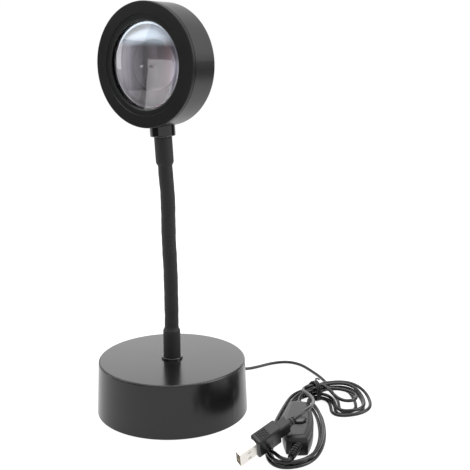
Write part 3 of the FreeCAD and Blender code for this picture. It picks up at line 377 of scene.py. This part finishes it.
for row in frame["record"]["subparts"]:
    node = frame["nodes"].get(row["node"])
    if node is not None and node.type == "MESH":
        node.data.materials.clear()
        node.data.materials.append(finishes[row["material_slot"]])
barrelGloss = finishOf("barrelGloss", (0.8, 0.8, 0.86), 0.18, 0.6, shade=0.06)
frame["nodes"]["lens_barrel"].data.materials[0] = barrelGloss
headEnamel = finishOf("headEnamel", (0.007, 0.007, 0.0073), 0.34, grainScale=1500.0, grainDepth=0.000008,
                      fixed={"Specular IOR Level": 0.45})
frame["nodes"]["head_housing"].data.materials[0] = headEnamel
for piece in (mainsRun, plugLead):
    dress(piece, "cord_jacket")
print("finishes set on", len(frame["nodes"]), "nodes")


def smoothPath(points, ways, perRun):
    # cubic Hermite runs between points with given directions
    points, ways = np.array(points, float), np.array(ways, float)
    lengths = np.linalg.norm(np.diff(points, axis=0), axis=1)[:, None, None]
    t = np.linspace(0, 1, perRun, endpoint=False)[None, :, None]
    start, end = points[:-1, None], points[1:, None]
    leave, arrive = ways[:-1, None] * lengths, ways[1:, None] * lengths
    runs = ((2 * t**3 - 3 * t**2 + 1) * start + (t**3 - 2 * t**2 + t) * leave
            + (3 * t**2 - 2 * t**3) * end + (t**3 - t**2) * arrive)
    return np.vstack([runs.reshape(-1, 3), points[-1:]])


def ringsOn(centres, ways, radii, around, side=(1.0, 0.0, 0.0)):
    # point(i, angle) = centre i + radius i * (cos angle * u + sin angle * v), with u and v square to the way
    ways = ways / np.linalg.norm(ways, axis=1)[:, None]
    u = np.array(side) - ways * (ways @ np.array(side))[:, None]
    u /= np.linalg.norm(u, axis=1)[:, None]
    v = np.cross(ways, u)
    angle = np.linspace(0, 2 * np.pi, around, endpoint=False)
    return (centres[:, None] + radii[:, None, None]
            * (np.cos(angle)[None, :, None] * u[:, None] + np.sin(angle)[None, :, None] * v[:, None]))


def meshPiece(name, places, faces, sharpAngle):
    data = bpy.data.meshes.new(name)
    data.from_pydata((places * mm).tolist(), [], faces)
    data.update()
    data.polygons.foreach_set("use_smooth", np.ones(len(faces), bool))
    data.set_sharp_from_angle(angle=sharpAngle)
    piece = bpy.data.objects.new(name, data)
    bpy.context.collection.objects.link(piece)
    return piece


def ringMesh(name, rings, closed):
    # rings joined by quads; closed joins the last ring to the first, else both ends get a cap
    count, around = rings.shape[:2]
    i, j = np.meshgrid(np.arange(count if closed else count - 1), np.arange(around), indexing="ij")
    below, above, after = i * around, (i + 1) % count * around, (j + 1) % around
    faces = np.stack([below + j, below + after, above + after, above + j], -1).reshape(-1, 4).tolist()
    if not closed:
        faces += [list(range(around))[::-1], [(count - 1) * around + k for k in range(around)]]
    return meshPiece(name, rings.reshape(-1, 3), faces, 0.7)


# neck sleeve and the wire in it: one piece for each hinge
neck = {"bow": (0.0, 0.2, 0.35, 0.55, 0.75, 0.7, 0.65, 0.9, 1.25, 1.25, 0.5, -0.2), "drift": -3.7,
        "firstPivot": 54.5, "flexible": 112.5, "foot": 35.7, "topGap": 15.4, "sway": 4.0,
        "cuffRadius": 5.67, "cuffBore": 4.98, "sleeveRadius": 4.6, "sleeveBore": 3.95,
        "lowerCuff": 20.0, "upperCuff": 17.0, "cuffSoftness": 0.45, "wireRadius": 1.1, "wireLow": 18.0,
        "wireHigh": 30.0, "ringsPerRun": 24, "blendReach": 5.0}

pivotShare = np.linspace(0, 1, len(neck["bow"]))
pivots = np.stack([np.array(neck["bow"]), neck["drift"] * pivotShare**2 * (3 - 2 * pivotShare),
                   neck["firstPivot"] + neck["flexible"] * pivotShare], 1)
neckUp = np.array([-np.sin(np.radians(neck["sway"])), 0, np.cos(np.radians(neck["sway"]))])
plumb = np.array([0.0, 0.0, 1.0])
pivotWays = np.vstack([plumb, pivots[2:] - pivots[:-2], neckUp])
pivotWays /= np.linalg.norm(pivotWays, axis=1)[:, None]


def neckLine(low, high):
    # a smooth line from the foot through the pivots to the top
    points = np.vstack([low, pivots, high])
    ways = np.vstack([plumb, pivotWays, neckUp])
    return smoothPath(points, ways, neck["ringsPerRun"])


def sleeveRadius(line, foot, top):
    # stretched over both ferrules, with a soft step down to the tube and small uneven waves
    low = np.linalg.norm(line - foot, axis=1)
    high = np.linalg.norm(line - top, axis=1)
    cuff = np.maximum(1 / (1 + np.exp((low - neck["lowerCuff"]) / neck["cuffSoftness"])),
                      1 / (1 + np.exp((high - neck["upperCuff"]) / neck["cuffSoftness"])))
    waves = 0.05 * np.sin(line[:, 2] * 0.37) + 0.04 * np.sin(line[:, 2] * 0.83 + 1.0)
    return (neck["sleeveRadius"] + (neck["cuffRadius"] - neck["sleeveRadius"]) * cuff + waves * (1 - cuff),
            neck["sleeveBore"] + (neck["cuffBore"] - neck["sleeveBore"]) * cuff)


def neckPieces(name, line, outer, inner, around, finish):
    ways = np.gradient(line, axis=0)
    # the pieces meet in the middle between two pivots
    perRun = neck["ringsPerRun"]
    cuts = [0] + [perRun * number + perRun // 2 for number in range(1, len(pivots))] + [len(line) - 1]
    for number in range(len(pivots)):
        part = slice(cuts[number], cuts[number + 1] + 1)
        rings = ringsOn(line[part], ways[part], outer[part], around)
        if inner is not None:
            back = ringsOn(line[part], ways[part], inner[part], around)[::-1]
            rings = np.vstack([rings, back])
        piece = ringMesh("%s_%02d" % (name, number + 1), rings, inner is not None)
        dress(piece, finish)
        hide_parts("neck_sleeve" if inner is not None else "neck_wire")
        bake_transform(piece)


sleeveFoot = np.array([0.0, 0.0, neck["foot"]])
sleeveTop = pivots[-1] + neckUp * neck["topGap"]
sleeveLine = neckLine(sleeveFoot, sleeveTop)
outerRadius, innerRadius = sleeveRadius(sleeveLine, sleeveFoot, sleeveTop)
neckPieces("sleeve", sleeveLine, outerRadius, innerRadius, 48, "sleeve_silicone")
wireLine = neckLine(sleeveFoot - plumb * neck["wireLow"],
                    sleeveTop + neckUp * (neck["wireHigh"] - neck["topGap"]))
neckPieces("neckWire", wireLine, np.full(len(wireLine), neck["wireRadius"]), None, 16, "cord_jacket")
print("sleeve and wire made in", 2 * len(pivots), "pieces")

# twist tie round the hank's waist
tie = {"middle": (71.6, 65.1), "heading": 63.0, "turns": 3, "pitch": 1.25, "wire": 0.55,
       "outline": [(0.6, 0.65), (6.4, 0.9), (7.8, 3.4), (7.4, 6.6), (3.8, 9.4), (0.6, 12.6), (-2.6, 13.4),
                   (-5.0, 11.6), (-6.1, 6.6), (-6.5, 2.4), (-4.6, 0.8)],
       "tail": [(2.6, 1.4, 13.4), (4.2, 2.4, 13.2), (5.8, 3.2, 12.4), (7.0, 3.6, 11.6)]}


def tieLine():
    # an outline round the strands, each turn a little further along, and an end that stands up
    wraps = np.array(tie["outline"] * tie["turns"] + tie["outline"][:6])
    along = tie["pitch"] * (np.arange(len(wraps)) / len(tie["outline"]) - tie["turns"] / 2)
    local = np.vstack([np.column_stack([along, wraps]), tie["tail"]])
    way = headingWay(tie["heading"])
    points = np.stack([tie["middle"][0] + local[:, 0] * way[0] - local[:, 1] * way[1],
                       tie["middle"][1] + local[:, 0] * way[1] + local[:, 1] * way[0], local[:, 2]], 1)
    ways = np.gradient(points, axis=0)
    return smoothPath(points, ways / np.linalg.norm(ways, axis=1)[:, None], 8)


tieCentres = tieLine()
tieRings = ringsOn(tieCentres, np.gradient(tieCentres, axis=0), np.full(len(tieCentres), tie["wire"]), 10,
                   side=(0.37, -0.61, 0.7))
tiePiece = ringMesh("tieWraps", tieRings, False)
dress(tiePiece, "tie_black")
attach(tiePiece, "base")
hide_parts("twist_tie")
print("tie wound")

# return spring under the button: point(t) = axis + radius * (cos, sin) of 2 pi turns t, rising with t
spring = {"along": -4.0, "foot": 6.65, "height": 4.4, "radius": 1.95, "wire": 0.22, "turns": 4,
          "travel": 1.5, "stepsPerTurn": 24}
turnShare = np.linspace(0, 1, spring["turns"] * spring["stepsPerTurn"] + 1)
springAngle = 2 * np.pi * spring["turns"] * turnShare
springAxis = switchPoint(spring["along"], 0.0, spring["foot"])
springRise = spring["wire"] + (spring["height"] - 2 * spring["wire"]) * turnShare
springLine = springAxis + np.stack([spring["radius"] * np.cos(springAngle),
                                    spring["radius"] * np.sin(springAngle), springRise], 1)
springRings = ringsOn(springLine, np.gradient(springLine, axis=0),
                      np.full(len(springLine), spring["wire"]), 8, side=(0.1, 0.1, 1.0))
springPiece = ringMesh("switchSpringCoil", springRings, False)
dress(springPiece, "steel")
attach(springPiece, "base")
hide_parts("switch_spring")
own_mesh(springPiece)
print("spring wound")

# grip dots on the plug's upper face: a thin plate whose top rises in rows of rounded bumps
grip = {"from": -9.6, "to": -2.6, "across": 2.9, "level": 7.72, "rise": 0.35, "rows": 5, "columns": 4,
        "sink": 0.5, "bumpSteps": 10, "flatBelow": 0.12, "skin": 0.04}
plugX = np.array(cordSize["plugAxis"]) / np.linalg.norm(cordSize["plugAxis"])
plugZ = np.cross(plugX, cordSize["plugAcross"])
plugZ /= np.linalg.norm(plugZ)
plugY = np.cross(plugZ, plugX)


def gripPlate(name):
    # height = level + rise * sqrt of |sin(rows * pi * u) * sin(columns * pi * v)|, over a flat underside
    u, v = np.meshgrid(np.linspace(0, 1, grip["rows"] * grip["bumpSteps"] + 1),
                       np.linspace(0, 1, grip["columns"] * grip["bumpSteps"] + 1), indexing="ij")
    bumps = np.abs(np.sin(grip["rows"] * np.pi * u) * np.sin(grip["columns"] * np.pi * v))
    along = grip["from"] + (grip["to"] - grip["from"]) * u
    sideways = grip["across"] * (2 * v - 1)
    top = grip["level"] + grip["rise"] * np.sqrt(bumps) * (bumps > grip["flatBelow"]) + grip["skin"]
    low = np.full_like(top, grip["level"] - grip["sink"])
    layers = [along[..., None] * plugX + sideways[..., None] * plugY + height[..., None] * plugZ
              for height in (top, low)]
    count, wide = u.shape
    places = np.vstack([layer.reshape(-1, 3) for layer in layers]) + np.array(cordSize["plugFront"])
    i, j = np.meshgrid(np.arange(count - 1), np.arange(wide - 1), indexing="ij")
    corner = i * wide + j
    upper = np.stack([corner, corner + wide, corner + wide + 1, corner + 1], -1).reshape(-1, 4)
    below = upper[:, ::-1] + count * wide
    grid = np.arange(count * wide).reshape(count, wide)
    rim = np.concatenate([grid[:-1, 0], grid[-1, :-1], grid[:0:-1, -1], grid[0, :0:-1]])
    after = np.roll(rim, -1)
    walls = np.stack([rim, rim + count * wide, after + count * wide, after], -1)
    return meshPiece(name, places, np.vstack([upper, below, walls]).tolist(), 0.9)


gripPiece = gripPlate("plugGrip")
dress(gripPiece, "moulded_black")
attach(gripPiece, "base")
print("plug grip made")

tuple(reliefTip(1) * mm)

# floor, backdrop and light
studio = {"floorSide": 6.0, "floorGlow": 0.7, "glowStrength": 1.29, "floorColour": 0.8, "worldFill": 0.45}


def seenDirectly(graph):
    # 1 for what the camera sees, straight or in metal and glass
    path = {name: graph.add("ShaderNodeLightPath", output=name)
            for name in ("Is Camera Ray", "Is Glossy Ray", "Is Transmission Ray")}
    return path["Is Camera Ray"].most(path["Is Glossy Ray"]).most(path["Is Transmission Ray"])


floorData = bpy.data.meshes.new("studioFloor")
half = studio["floorSide"] / 2
floorCorners = [(-half, -half, 0), (half, -half, 0), (half, half, 0), (-half, half, 0)]
floorData.from_pydata(floorCorners, [], [(0, 1, 2, 3)])
floor = bpy.data.objects.new("studioFloor", floorData)
bpy.context.collection.objects.link(floor)
floorPaper = bpy.data.materials.new("floorPaper")
floorPaper.use_nodes = True
graph = Graph(floorPaper.node_tree)
paper = graph.add("ShaderNodeBsdfDiffuse", None, {"Color": (studio["floorColour"],) * 3 + (1,)})
glow = graph.add("ShaderNodeEmission", None, {"Color": (1, 1, 1, 1), "Strength": studio["glowStrength"]})
shine = seenDirectly(graph) * studio["floorGlow"]
surface = graph.add("ShaderNodeMixShader", None, {0: shine, 1: paper, 2: glow})
graph.add("ShaderNodeOutputMaterial", None, {"Surface": surface})
floorData.materials.append(floorPaper)

world = bpy.data.worlds.new("studioWorld")
bpy.context.scene.world = world
world.use_nodes = True
graph = Graph(world.node_tree)
strength = seenDirectly(graph) * (1 - studio["worldFill"]) + studio["worldFill"]
sky = graph.add("ShaderNodeBackground", None, {"Color": (1, 1, 1, 1), "Strength": strength})
graph.add("ShaderNodeOutputWorld", None, {"Surface": sky})


def lookAt(place, target):
    back = np.array(place, float) - np.array(target, float)
    back /= np.linalg.norm(back)
    level = np.cross((0, 0, 1.0), back) if abs(back[2]) < 0.999 else np.array([1.0, 0, 0])
    level /= np.linalg.norm(level)
    turned = np.eye(4)
    turned[:3, 0], turned[:3, 1], turned[:3, 2], turned[:3, 3] = level, np.cross(back, level), back, place
    return Matrix(turned.tolist())


def softbox(name, place, target, width, height, power):
    light = bpy.data.lights.new(name, "AREA")
    light.shape = "RECTANGLE"
    light.size, light.size_y, light.energy = width, height, power
    lamp = bpy.data.objects.new(name, light)
    bpy.context.collection.objects.link(lamp)
    lamp.matrix_world = lookAt(place, target)
    lamp.visible_camera = False


cloth = bpy.data.materials.new("cardBlack")
cloth.use_nodes = True
graph = Graph(cloth.node_tree)
felt = graph.add("ShaderNodeBsdfDiffuse", None, {"Color": (0.004, 0.004, 0.004, 1)})
graph.add("ShaderNodeOutputMaterial", None, {"Surface": felt})


def darkCard(name, place, target, width, height):
    # a black card that only glossy reflections see, as a photographer sets beside black things
    data = bpy.data.meshes.new(name)
    halves = np.array((width, height, 0)) / 2
    corners = np.array([(-1, -1, 0), (1, -1, 0), (1, 1, 0), (-1, 1, 0)]) * halves
    turned = np.array(lookAt(place, target))
    data.from_pydata((corners @ turned[:3, :3].T + turned[:3, 3]).tolist(), [], [(0, 1, 2, 3)])
    card = bpy.data.objects.new(name, data)
    bpy.context.collection.objects.link(card)
    card.visible_camera = card.visible_diffuse = card.visible_shadow = card.visible_transmission = False
    data.materials.append(cloth)


darkCard("frontCard", (-0.36, -0.56, 0.2), (0, 0, 0.2), 0.85, 0.42)
darkCard("sideCard", (0.42, 0.62, 0.16), (0, 0, 0.2), 0.5, 0.27)
softbox("backBox", (-0.68, 0.99, 0.38), (0, 0, 0.05), 1.1, 0.45, 1.6)
softbox("topBox", (0.0, 0.1, 1.3), (0, 0, 0.1), 1.2, 1.2, 14)
softbox("leftBox", (-0.9, -0.6, 0.6), (0, 0, 0.12), 0.7, 1.0, 7)
softbox("rightBox", (0.9, 0.5, 0.7), (0, 0, 0.12), 0.6, 0.9, 7)

bpy.context.scene.view_settings.view_transform = "Standard"
print("studio lit")

bpy.context.view_layer.update()
